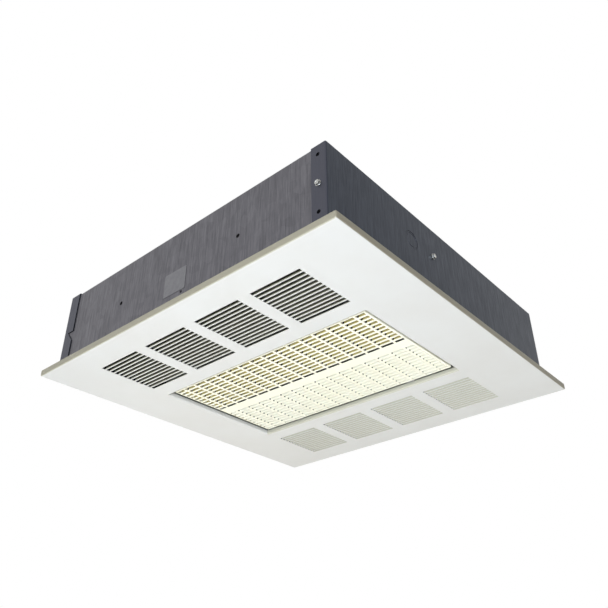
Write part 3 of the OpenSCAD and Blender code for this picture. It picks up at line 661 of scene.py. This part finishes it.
@dataclass(frozen=True)
class Screw:
    """What every screw shares, in millimetres. Its seat is at zero, its head up and its shank down."""

    crest_r: float
    shank_l: float
    head_r: float
    head_h: float
    pitch: float = 1.1
    thread_h: float = 0.32
    tip_l: float = 0.4
    tip_share: float = 0.7
    neck_l: float = 0.3
    columns: int = 48

    def shank(self, theta: Array) -> Array:
        """Rows of the shank, drawn in to a blunt tip.

        Args:
            theta: The angle of each column.

        Returns:
            The rows from tip to seat.
        """
        start = -self.shank_l + self.tip_l
        thread = thread_rows(theta, start, -self.neck_l, self.crest_r, self.thread_h, self.pitch)
        core = self.crest_r - self.thread_h
        tip = rows_about_z(theta, [core * self.tip_share], [-self.shank_l])
        neck = rows_about_z(theta, [core, core], [-self.neck_l / 2, 0.0])
        return np.concatenate([tip, thread, neck])

    def head(self, theta: Array) -> Array:
        """Rows of the head; each kind of screw has its own."""
        raise NotImplementedError

    def surface(self) -> Surface:
        """The whole screw as one closed skin."""
        theta = turns(self.columns)
        return Surface(np.concatenate([self.shank(theta), self.head(theta)]))


@dataclass(frozen=True)
class WasherScrew(Screw):
    """A self-tapping screw with a hexagon head on a washer face and a dished top."""

    across: float = 6.4
    washer_t: float = 0.8
    edge: float = 0.2
    dish: float = 0.35

    def head(self, theta: Array) -> Array:
        """The washer's rounded edge, the hexagon's flats, its coned top edge and the dish.

        The cone makes the arcs on the flats: its height falls by tan 30 of the reach past the flats' circle.

        Args:
            theta: The angle of each column.

        Returns:
            The rows from seat to dish.
        """
        flat, rim, washer = self.across / 2, self.head_r, self.washer_t
        reach = polygon_reach(theta, flat, HEX_SIDES)
        top = washer + self.head_h
        cone = top - CONE_START - (reach - flat) * CONE_SLOPE
        inner = rim - self.edge
        radii = [inner, rim, rim, inner, reach, reach, flat * 0.97, flat * 0.72, flat * 0.64]
        levels = [0.0, 0.15, washer - 0.25, washer - 0.02, washer, cone, top, top, top - self.dish]
        return rows_about_z(theta, radii, levels)


@dataclass(frozen=True)
class PanScrew(Screw):
    """A machine screw with a low round head and a cross or a slot."""

    recess: Recess = Recess.CROSS
    recess_w: float = 1.1
    wall_share: float = 0.25
    dome_degrees: float = 62.0

    def head(self, theta: Array) -> Array:
        """A dome whose radius and height follow the cosine and sine of one angle, with the recess in its top.

        Args:
            theta: The angle of each column.

        Returns:
            The rows from seat to the recess's floor.
        """
        slope = np.linspace(0.0, math.radians(self.dome_degrees), 7)
        rise = np.sin(slope) / math.sin(slope[-1])
        radii: list[Any] = [self.head_r * 0.96, *(self.head_r * np.cos(slope))]
        levels = [0.0, *(self.head_h * (self.wall_share + (1 - self.wall_share) * rise))]
        arm_share, crossed = self.recess.value
        edge = cross_reach(theta, self.head_r * arm_share, self.recess_w / 2, crossed)
        return rows_about_z(theta, radii + [edge, edge * 0.86], levels + [self.head_h, self.head_h / 2])


@dataclass(frozen=True)
class HexNut:
    """A hexagon nut with both edges coned and a threaded bore, standing on zero."""

    across: float
    height: float
    bore_r: float
    pitch: float = 0.7
    thread_h: float = 0.25
    mouth: float = 0.35
    mouth_h: float = 0.3
    columns: int = 48

    def surface(self) -> Surface:
        """Makes one ring: up the outside, over the top, down the thread and back under.

        Both faces are coned: the edge drops by tan 30 of the reach past the flats' circle.

        Returns:
            The nut.
        """
        theta = turns(self.columns)
        flat, height, mouth_r = self.across / 2, self.height, self.bore_r + self.mouth
        reach = polygon_reach(theta, flat, HEX_SIDES)
        drop = (reach - flat) * CONE_SLOPE + 0.08
        face_r = flat * 0.96
        outside = rows_about_z(theta, [face_r, reach, reach, face_r], [0.0, drop, height - drop, height])
        mouth = rows_about_z(theta, [mouth_r], [height])
        thread = thread_rows(
            theta, height - self.mouth_h, self.mouth_h, self.bore_r, -self.thread_h, self.pitch)
        foot = rows_about_z(theta, [mouth_r], [0.0])
        return Surface(np.concatenate([outside, mouth, thread, foot]), ring=True)


def box_mm(node: str) -> tuple[Array, Array]:
    """The lowest and highest corner of a CAD node in millimetres."""
    low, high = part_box(node)
    return np.array(low) / MM, np.array(high) / MM


# Sub-assemblies


@dataclass
class Assembly:
    """A sub-assembly: which material slot goes on which of its CAD nodes, and the pieces that it adds."""

    FINISHES: ClassVar[dict[str, tuple[str, ...]]] = {}

    library: Library

    def dress(self) -> int:
        """Gives each CAD node its finish.

        Returns:
            How many nodes were dressed.
        """
        dressed = 0
        for slot, names in self.FINISHES.items():
            for name in names:
                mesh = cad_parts[name].data
                mesh.materials.clear()
                mesh.materials.append(self.library.made[slot])
                dressed += 1
        return dressed

    def build(self) -> list[bpy.types.Object]:
        """Makes the pieces that it adds; none unless a sub-assembly says so."""
        return []


@dataclass
class Panel(Assembly):
    """The white face panel and the nuts on its weld studs."""

    # White coat on the panel, zinc on the nuts
    FINISHES = {"panel_white": ("face_panel",), "zinc": ("rim_nuts",)}

    nut_across: float = 7.0
    nut_h: float = 3.2
    stud_r: float = 2.0
    stud_inset: float = 9.0
    stud_pitch: float = 140.0
    end_stud_y: float = 205.0

    def build(self) -> list[bpy.types.Object]:
        """Makes the twelve nuts, four along each wrapper flange and two under each end cap.

        Returns:
            The nuts as one piece.
        """
        low, high = box_mm("casing_wrapper")
        cap_low, cap_high = box_mm("end_cap_left")[0], box_mm("end_cap_right")[1]
        middle, foot_z = (low + high) / 2, box_mm("rim_nuts")[0][2]
        half_x = (cap_high[0] - cap_low[0]) / 2 - self.stud_inset
        half_y = (high[1] - low[1]) / 2 - self.stud_inset
        along = [(s * self.stud_pitch, t * half_y) for s in (-1.5, -0.5, 0.5, 1.5) for t in (-1, 1)]
        ends = [(s * half_x, t * self.end_stud_y) for s in (-1, 1) for t in (-1, 1)]
        places = [(middle[0] + x, middle[1] + y, foot_z) for x, y in along + ends]
        nut = HexNut(self.nut_across, self.nut_h, self.stud_r).surface()
        return [Piece("rim_nuts_threaded").add(nut, places).finish(self.library, "zinc", "rim_nuts")]


@dataclass
class Grille(Assembly):
    """The cream discharge grille with its hinge pins, and the spring catches on the duct."""

    # Cream coat on the grille, zinc on pins and catches
    FINISHES = {"grille_cream": ("discharge_grille",), "zinc": ("grille_pins", "grille_catches")}


@dataclass
class Casing(Assembly):
    """The galvanised wrapper, the two blue-grey end caps and what is fixed to them."""

    # Galvanised wrapper, passivated caps, zinc screws and a bare foil plate
    FINISHES = {
        "galvanised": ("casing_wrapper",),
        "cap_steel": ("end_cap_right", "end_cap_left", "knockout_slug"),
        "zinc": ("casing_screws", "ground_screw"),
        "plate_grey": ("rating_plate",),
    }

    screw_inset: float = 13.0
    side_screw_z: float = 83.0
    top_screw_y: float = 140.0
    screw_r: float = 1.75
    screw_l: float = 9.0
    ground_screw_l: float = 11.0
    washer_r: float = 4.2
    hexagon_h: float = 2.6
    knockout_r: float = 14.1
    knockout_inner_r: float = 11.1
    knockout_t: float = 0.8
    groove: float = 0.38
    tie_r: float = 1.5
    tie_h: float = 0.28

    def screws(self) -> bpy.types.Object:
        """Makes one screw through each flanged wall and two down through each end of the top.

        Returns:
            The screws as one piece.
        """
        left, right = box_mm("end_cap_left")[0], box_mm("end_cap_right")[1]
        front_y, back_y, top_z = box_mm("end_cap_right")[0][1], right[1], right[2]
        side_x, middle_y = right[0] - self.screw_inset, (front_y + back_y) / 2
        skin = WasherScrew(self.screw_r, self.screw_l, self.washer_r, self.hexagon_h).surface()
        piece = Piece("casing_screws_threaded")
        piece.add(skin, [(side_x, front_y, self.side_screw_z)], Facing.FRONT)
        piece.add(skin, [(side_x, back_y, self.side_screw_z)], Facing.BACK)
        tops = [(x, middle_y + s * self.top_screw_y, top_z)
                for x in (side_x, left[0] + self.screw_inset) for s in (-1, 1)]
        piece.add(skin, tops)
        return piece.finish(self.library, "zinc", "casing_screws")

    def ground_screw(self) -> bpy.types.Object:
        """Makes the longer screw beside the knockout.

        Returns:
            The screw.
        """
        low, high = box_mm("ground_screw")
        face_x = box_mm("end_cap_right")[1][0]
        place = (face_x, (low[1] + high[1]) / 2, (low[2] + high[2]) / 2)
        skin = WasherScrew(self.screw_r, self.ground_screw_l, self.washer_r, self.hexagon_h).surface()
        return Piece("ground_screw_threaded").add(skin, [place], Facing.RIGHT).finish(
            self.library, "zinc", "ground_screw")

    def knockout(self) -> bpy.types.Object:
        """Makes the knockout: a disc turned from one profile, with a pressed ring, and two ties.

        The disc's rows run from its back round the rim to the middle of its face. Each tie is a flat dome,
        with radius r cos a and height h sin a, over the gap at the top and the foot.

        Returns:
            The disc with its two ties.
        """
        low, high = box_mm("knockout_slug")
        middle = (low + high) / 2
        rim, ring, t = self.knockout_r, self.knockout_inner_r, self.knockout_t
        sunk = t - self.groove
        steps = (0.55, 0.3, -0.3, -0.55, -1.6)
        radii = [rim - 0.2, rim, rim, rim - 0.25, *(ring + step for step in steps)]
        disc = rows_about_z(turns(64), radii, [0.0, 0.2, t - 0.3, t, t, sunk, sunk, t, t])
        slope = np.linspace(0.0, math.radians(80), 6)
        dome = rows_about_z(
            turns(20), [self.tie_r, *(self.tie_r * np.cos(slope))], [-0.3, *(self.tie_h * np.sin(slope))])
        feet = [(high[0] - 0.05, middle[1], middle[2] + s * (rim - 0.1)) for s in (-1, 1)]
        piece = Piece("knockout_pressed")
        piece.add(Surface(disc), [(low[0], middle[1], middle[2])], Facing.RIGHT)
        piece.add(Surface(dome), feet, Facing.RIGHT)
        return piece.finish(self.library, "cap_steel", "knockout_slug")

    def build(self) -> list[bpy.types.Object]:
        """Makes the screws and the knockout."""
        return [self.screws(), self.ground_screw(), self.knockout()]


@dataclass
class Duct(Assembly):
    """The four duct walls and the deck that carries the fan's ring."""

    # Aluminised sheet throughout
    FINISHES = {"inner_sheet": ("duct_front", "duct_rear", "duct_left", "duct_right", "fan_deck")}


@dataclass
class Elements(Assembly):
    """Three finned hairpin elements with their support, bushings and beads."""

    # Heat-browned steel on the elements, aluminised support and glazed steatite beads
    FINISHES = {
        "fin_steel": ("element_front", "element_middle", "element_rear"),
        "inner_sheet": ("element_support",),
        "ceramic": ("element_bushings", "terminal_insulators"),
    }

    leg_pitch: float = 40.0
    bend_x: float = -168.0
    sheath_r: float = 5.5
    sheath_end_x: float = 229.2
    pin_r: float = 2.0
    pin_end_x: float = 242.2
    fin_r: float = 15.0
    fin_t: float = 0.5
    fin_pitch: float = 5.0
    finned_half: float = 158.0
    crimp: float = 0.9
    crimps: int = 9
    steps: int = 36
    columns: int = 24

    def sheath(self) -> Surface:
        """Carries a round section along the hairpin: in on one leg, round the bend and out on the other.

        A point is the path's point plus r (n cos a + z sin a), where n is z crossed with the path's heading.
        The radius steps down from the sheath to the terminal pin at both ends.

        Returns:
            The sheath with its pins.
        """
        half = self.leg_pitch / 2
        x = np.array([self.pin_end_x, self.pin_end_x - 0.5, self.sheath_end_x, self.sheath_end_x,
                      self.sheath_end_x - 0.5, self.finned_half, -self.finned_half])
        radius = np.array([self.pin_r * 0.6, self.pin_r, self.pin_r, self.sheath_r - 0.5,
                           self.sheath_r, self.sheath_r, self.sheath_r])
        zero, one = np.zeros_like(x), np.ones_like(x)
        leg = np.stack([x, -half * one, zero], axis=-1)
        bend = np.linspace(-np.pi / 2, -1.5 * np.pi, 25)
        curve = np.stack([self.bend_x + half * np.cos(bend), half * np.sin(bend), 0 * bend], axis=-1)
        path = np.concatenate([leg, curve, (leg * [1, -1, 1])[::-1]])
        ahead = np.concatenate([
            np.stack([-one, zero, zero], axis=-1),
            np.stack([np.sin(bend), -np.cos(bend), 0 * bend], axis=-1),
            np.stack([one, zero, zero], axis=-1),
        ])
        reach = np.concatenate([radius, np.full(len(bend), self.sheath_r), radius[::-1]])[:, None, None]
        side = np.stack([-ahead[:, 1], ahead[:, 0], 0 * ahead[:, 0]], axis=-1)[:, None, :]
        theta = turns(self.columns)[None, :, None]
        spoke = side * np.cos(theta) + np.array([0, 0, 1.0]) * np.sin(theta)
        return Surface(path[:, None, :] + reach * spoke)

    def fins(self, leg_y: float) -> Surface:
        """Winds a steel strip on edge: a screw surface whose x grows by the pitch each turn.

        The inner edge is crimped: x also gains the crimp times sin(crimps x angle), fading to nothing at the
        outer edge. The four columns are the corners of the strip's section.

        Args:
            leg_y: Where the leg lies across the hairpin.

        Returns:
            The strip along one leg.
        """
        count = int(2 * self.finned_half / self.fin_pitch)
        theta = np.linspace(0, count * 2 * np.pi, count * self.steps + 1)[:, None]
        foot_r = self.sheath_r - 0.2
        reach = np.array([[self.fin_r, foot_r, foot_r, self.fin_r]])
        side = np.array([[-0.5, -0.5, 0.5, 0.5]]) * self.fin_t
        inward = (self.fin_r - reach) / (self.fin_r - self.sheath_r)
        x = -self.finned_half + self.fin_pitch * theta / (2 * np.pi) + side
        x = x + self.crimp * np.sin(self.crimps * theta) * inward
        return Surface(np.stack([x, leg_y + reach * np.cos(theta), reach * np.sin(theta)], axis=-1))

    def build(self) -> list[bpy.types.Object]:
        """Makes each element in its CAD node's place.

        Returns:
            The three elements.
        """
        made = []
        for name in ("element_front", "element_middle", "element_rear"):
            low, high = box_mm(name)
            place = [(0.0, (low[1] + high[1]) / 2, (low[2] + high[2]) / 2)]
            piece = Piece(name + "_wound").add(self.sheath(), place)
            for side in (-1, 1):
                piece.add(self.fins(side * self.leg_pitch / 2), place)
            made.append(piece.finish(self.library, "fin_steel", name))
        return made


@dataclass
class FanDrive(Assembly):
    """The fan wheel, the motor from shaft to cover, and its bracket."""

    # Stamped aluminium fan, laminated core, black enamel shell and small zinc parts
    FINISHES = {
        "fan_alloy": ("fan_wheel",),
        "core_steel": ("motor_rotor", "motor_stator"),
        "motor_paint": ("motor_shell", "motor_cover"),
        "copper": ("motor_windings",),
        "bronze": ("motor_bearings",),
        "inner_sheet": ("motor_bracket",),
        "zinc": ("motor_shaft", "motor_screws", "bracket_screws"),
    }

    winding_r: float = 34.0
    tube_r: float = 3.6
    strands: int = 64
    strand_relief: float = 0.35
    motor_screw_y: float = 40.0
    foot_head_r: float = 3.4
    foot_head_h: float = 2.6

    def winding(self) -> Surface:
        """Makes a wound ring: a torus whose tube radius dips between strands that lean as they go round.

        The tube's radius is its full size less the relief times the square of
        sin(strands x turn / 2 + angle).

        Returns:
            The ring.
        """
        turn = turns(self.strands * 6)[:, None]
        angle = turns(16)[None, :]
        tube = self.tube_r - self.strand_relief * np.sin(self.strands / 2 * turn + angle) ** 2
        out = self.winding_r + tube * np.cos(angle)
        return Surface(np.stack([
            out * np.cos(turn), out * np.sin(turn), -tube * np.sin(angle) + 0 * turn], axis=-1), ring=True)

    def build(self) -> list[bpy.types.Object]:
        """Makes the end windings and the motor's and bracket's screws.

        Returns:
            The windings and the two sets of screws.
        """
        low, high = box_mm("motor_windings")
        rings = [(0, 0, low[2] + self.tube_r), (0, 0, high[2] - self.tube_r)]
        windings = Piece("motor_windings_wound").add(self.winding(), rings).finish(
            self.library, "copper", "motor_windings", 60.0)
        bracket_top = box_mm("motor_bracket")[1][2]
        top = Piece("motor_screws_threaded").add(
            PanScrew(crest_r=1.9, shank_l=8.0, head_r=3.6, head_h=2.2, pitch=0.8).surface(),
            [(0, s * self.motor_screw_y, bracket_top) for s in (-1, 1)],
        ).finish(self.library, "zinc", "motor_screws")
        low, high = box_mm("bracket_screws")
        inset = self.foot_head_r
        places = [(x, y, high[2] - self.foot_head_h)
                  for x in (low[0] + inset, high[0] - inset) for y in (low[1] + inset, high[1] - inset)]
        feet = Piece("bracket_screws_threaded").add(
            PanScrew(1.75, 4.5, self.foot_head_r, self.foot_head_h).surface(), places,
        ).finish(self.library, "zinc", "bracket_screws")
        return [windings, top, feet]


@dataclass
class WiringBox(Assembly):
    """The wiring compartment with its controls, switch and thermal cut-out."""

    # Aluminised box, phenolic and nylon mouldings, brass and zinc metalwork
    FINISHES = {
        "inner_sheet": ("wiring_box",),
        "black_plastic": ("terminal_block", "switch_body"),
        "brass": ("terminal_screws",),
        "relay_white": ("element_relay",),
        "relay_brown": ("delay_relay", "cutout_body"),
        "core_steel": ("control_transformer",),
        "red_plastic": ("cutout_button",),
        "zinc": ("switch_toggle", "switch_nut"),
    }

    poles: int = 4
    block_l: float = 60.0
    screw_r: float = 3.75
    screw_h: float = 4.0
    shank_l: float = 1.2
    switch_across: float = 15.0
    switch_bore_r: float = 6.0

    def build(self) -> list[bpy.types.Object]:
        """Makes the slotted terminal screws and the switch's nut.

        Returns:
            The screws as one piece, and the nut.
        """
        low, high = box_mm("terminal_screws")
        pole = self.block_l / self.poles
        places = [(low[0] + self.shank_l, low[1] + self.screw_r + i * pole, z)
                  for i in range(self.poles) for z in (low[2] + self.screw_r, high[2] - self.screw_r)]
        head_h = self.screw_h - self.shank_l
        skin = PanScrew(1.7, self.shank_l, self.screw_r, head_h, pitch=0.7, recess=Recess.SLOT).surface()
        terminals = Piece("terminal_screws_slotted").add(skin, places, Facing.RIGHT).finish(
            self.library, "brass", "terminal_screws")
        nut_low, nut_high = box_mm("switch_nut")
        nut = HexNut(self.switch_across, nut_high[0] - nut_low[0], self.switch_bore_r, pitch=0.8).surface()
        place = (nut_low[0], (nut_low[1] + nut_high[1]) / 2, (nut_low[2] + nut_high[2]) / 2)
        lock = Piece("switch_nut_threaded").add(nut, [place], Facing.RIGHT).finish(
            self.library, "zinc", "switch_nut")
        return [terminals, lock]


# Stage, light and camera


@dataclass(frozen=True)
class Lamp:
    """A square soft lamp that shines at the heater and is not seen itself."""

    name: str
    place: tuple[float, float, float]
    size: float
    power: float
    tint: tuple[float, float, float] = (1.0, 1.0, 1.0)
    aim: tuple[float, float, float] = (0.0, 0.0, 0.0)

    def build(self) -> None:
        """Makes the lamp and turns it to its aim."""
        data = bpy.data.lights.new(self.name, "AREA")
        data.shape = "SQUARE"
        data.size = self.size
        data.energy = self.power
        data.color = self.tint
        lamp = bpy.data.objects.new(self.name, data)
        lamp.location = self.place
        lamp.rotation_mode = "QUATERNION"
        lamp.rotation_quaternion = (Vector(self.aim) - Vector(self.place)).to_track_quat("-Z", "Y")
        lamp.visible_camera = False
        bpy.context.scene.collection.objects.link(lamp)


@dataclass
class Studio:
    """The pale floor far below, the white surround and plain soft lamps."""

    floor_z: float = -1.35
    floor_half: float = 14.0
    floor_glow: float = 0.6
    surround: float = 0.22
    surround_tint: str = "fff4d4"
    lamps: tuple[Lamp, ...] = (
        Lamp("lamp_front_low", (0.8, -2.0, -1.15), 1.0, 80.0, (0.81, 0.89, 1.0)),
        Lamp("lamp_under", (0.0, -0.05, -1.1), 0.9, 4.8, (0.98, 0.98, 0.98)),
        Lamp("lamp_left_low", (-1.4, 1.0, -1.0), 1.0, 2.3, (1.0, 0.90, 0.70)),
        Lamp("lamp_above", (-0.3, 0.6, 2.3), 1.6, 22.0),
    )

    def white_to_camera(self, tree: bpy.types.NodeTree) -> bpy.types.NodeSocket:
        """Adds the test for rays that see the surround itself or a reflection of it.

        Args:
            tree: The node tree of the floor's material or of the world.

        Returns:
            A socket that is 1 for camera, glossy and transmission rays.
        """
        path = add(tree, "LightPath")
        glossy = add(tree, "Math", {
            0: path.outputs["Is Camera Ray"], 1: path.outputs["Is Glossy Ray"]}, operation="MAXIMUM")
        return add(tree, "Math", {
            0: glossy.outputs[0], 1: path.outputs["Is Transmission Ray"]}, operation="MAXIMUM").outputs[0]

    def build_world(self) -> None:
        """Makes the world: even light on the object, white where it is seen."""
        world = bpy.data.worlds.new("surround")
        bpy.context.scene.world = world
        world.use_nodes = True
        tree = world.node_tree
        seen = self.white_to_camera(tree)
        strength = add(tree, "MapRange", {"Value": seen, "To Min": self.surround, "To Max": 1.0})
        shown = add(tree, "Mix", {
            0: seen, 6: linear(self.surround_tint), 7: linear("ffffff")}, data_type="RGBA")
        background = tree.nodes["Background"]
        tree.links.new(shown.outputs[2], background.inputs["Color"])
        tree.links.new(strength.outputs["Result"], background.inputs["Strength"])

    def build_floor(self) -> None:
        """Makes the floor from four corners, with a coat that turns nearly white for the camera."""
        half, square = self.floor_half, ((-1, -1), (1, -1), (1, 1), (-1, 1))
        mesh = bpy.data.meshes.new("studio_floor")
        mesh.from_pydata([(x * half, y * half, self.floor_z) for x, y in square], [], [range(4)])
        floor = bpy.data.objects.new("studio_floor", mesh)
        bpy.context.scene.collection.objects.link(floor)
        material = bpy.data.materials.new("pale_floor")
        material.use_nodes = True
        tree = material.node_tree
        shader = tree.nodes["Principled BSDF"]
        shader.inputs["Base Color"].default_value = linear("f2f2f0")
        shader.inputs["Roughness"].default_value = 0.9
        glow = add(tree, "Emission", {"Color": linear("ffffff"), "Strength": 1.0})
        share = add(tree, "Math", {0: self.white_to_camera(tree), 1: self.floor_glow}, operation="MULTIPLY")
        mixed = add(tree, "MixShader", {
            0: share.outputs[0], 1: shader.outputs["BSDF"], 2: glow.outputs["Emission"]})
        tree.links.new(mixed.outputs[0], tree.nodes["Material Output"].inputs["Surface"])
        mesh.materials.append(material)

    def build(self) -> None:
        """Makes the whole studio."""
        self.build_world()
        self.build_floor()
        for lamp in self.lamps:
            lamp.build()
        bpy.context.scene.view_settings.view_transform = "Standard"


@dataclass
class PhotoCamera:
    """The photograph's view: from below and in front, tilted up at the panel."""

    place: tuple[float, float, float] = (0.66202, -0.76735, -0.47557)
    aim: tuple[float, float, float] = (0.15539, -0.18804, 0.0)
    roll_degrees: float = -0.197
    lens_mm: float = 40.675
    sensor_mm: float = 36.0

    def build(self) -> None:
        """Makes the camera and sets it as the scene's."""
        data = bpy.data.cameras.new("photo_camera")
        data.lens = self.lens_mm
        data.sensor_width = self.sensor_mm
        data.sensor_fit = "AUTO"
        camera = bpy.data.objects.new("photo_camera", data)
        turn = (Vector(self.aim) - Vector(self.place)).to_track_quat("-Z", "Y").to_matrix()
        roll = Matrix.Rotation(math.radians(self.roll_degrees), 3, "Z")
        camera.matrix_world = Matrix.Translation(Vector(self.place)) @ (turn @ roll).to_4x4()
        bpy.context.scene.collection.objects.link(camera)
        bpy.context.scene.camera = camera


def main() -> None:
    """Dresses the heater and reports each step."""
    logging.basicConfig(level=logging.INFO, format="%(name)s: %(message)s")
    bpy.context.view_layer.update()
    PhotoCamera().build()
    LOG.info("camera placed")
    Studio().build()
    LOG.info("studio built")
    library = Library()
    assemblies: tuple[Assembly, ...] = (
        Panel(library), Grille(library), Casing(library), Duct(library), Elements(library), FanDrive(library),
        WiringBox(library),
    )
    for assembly in assemblies:
        dressed, made = assembly.dress(), assembly.build()
        LOG.info("%s: %d nodes dressed, %d pieces made", type(assembly).__name__, dressed, len(made))


if __name__ == "__main__":
    main()
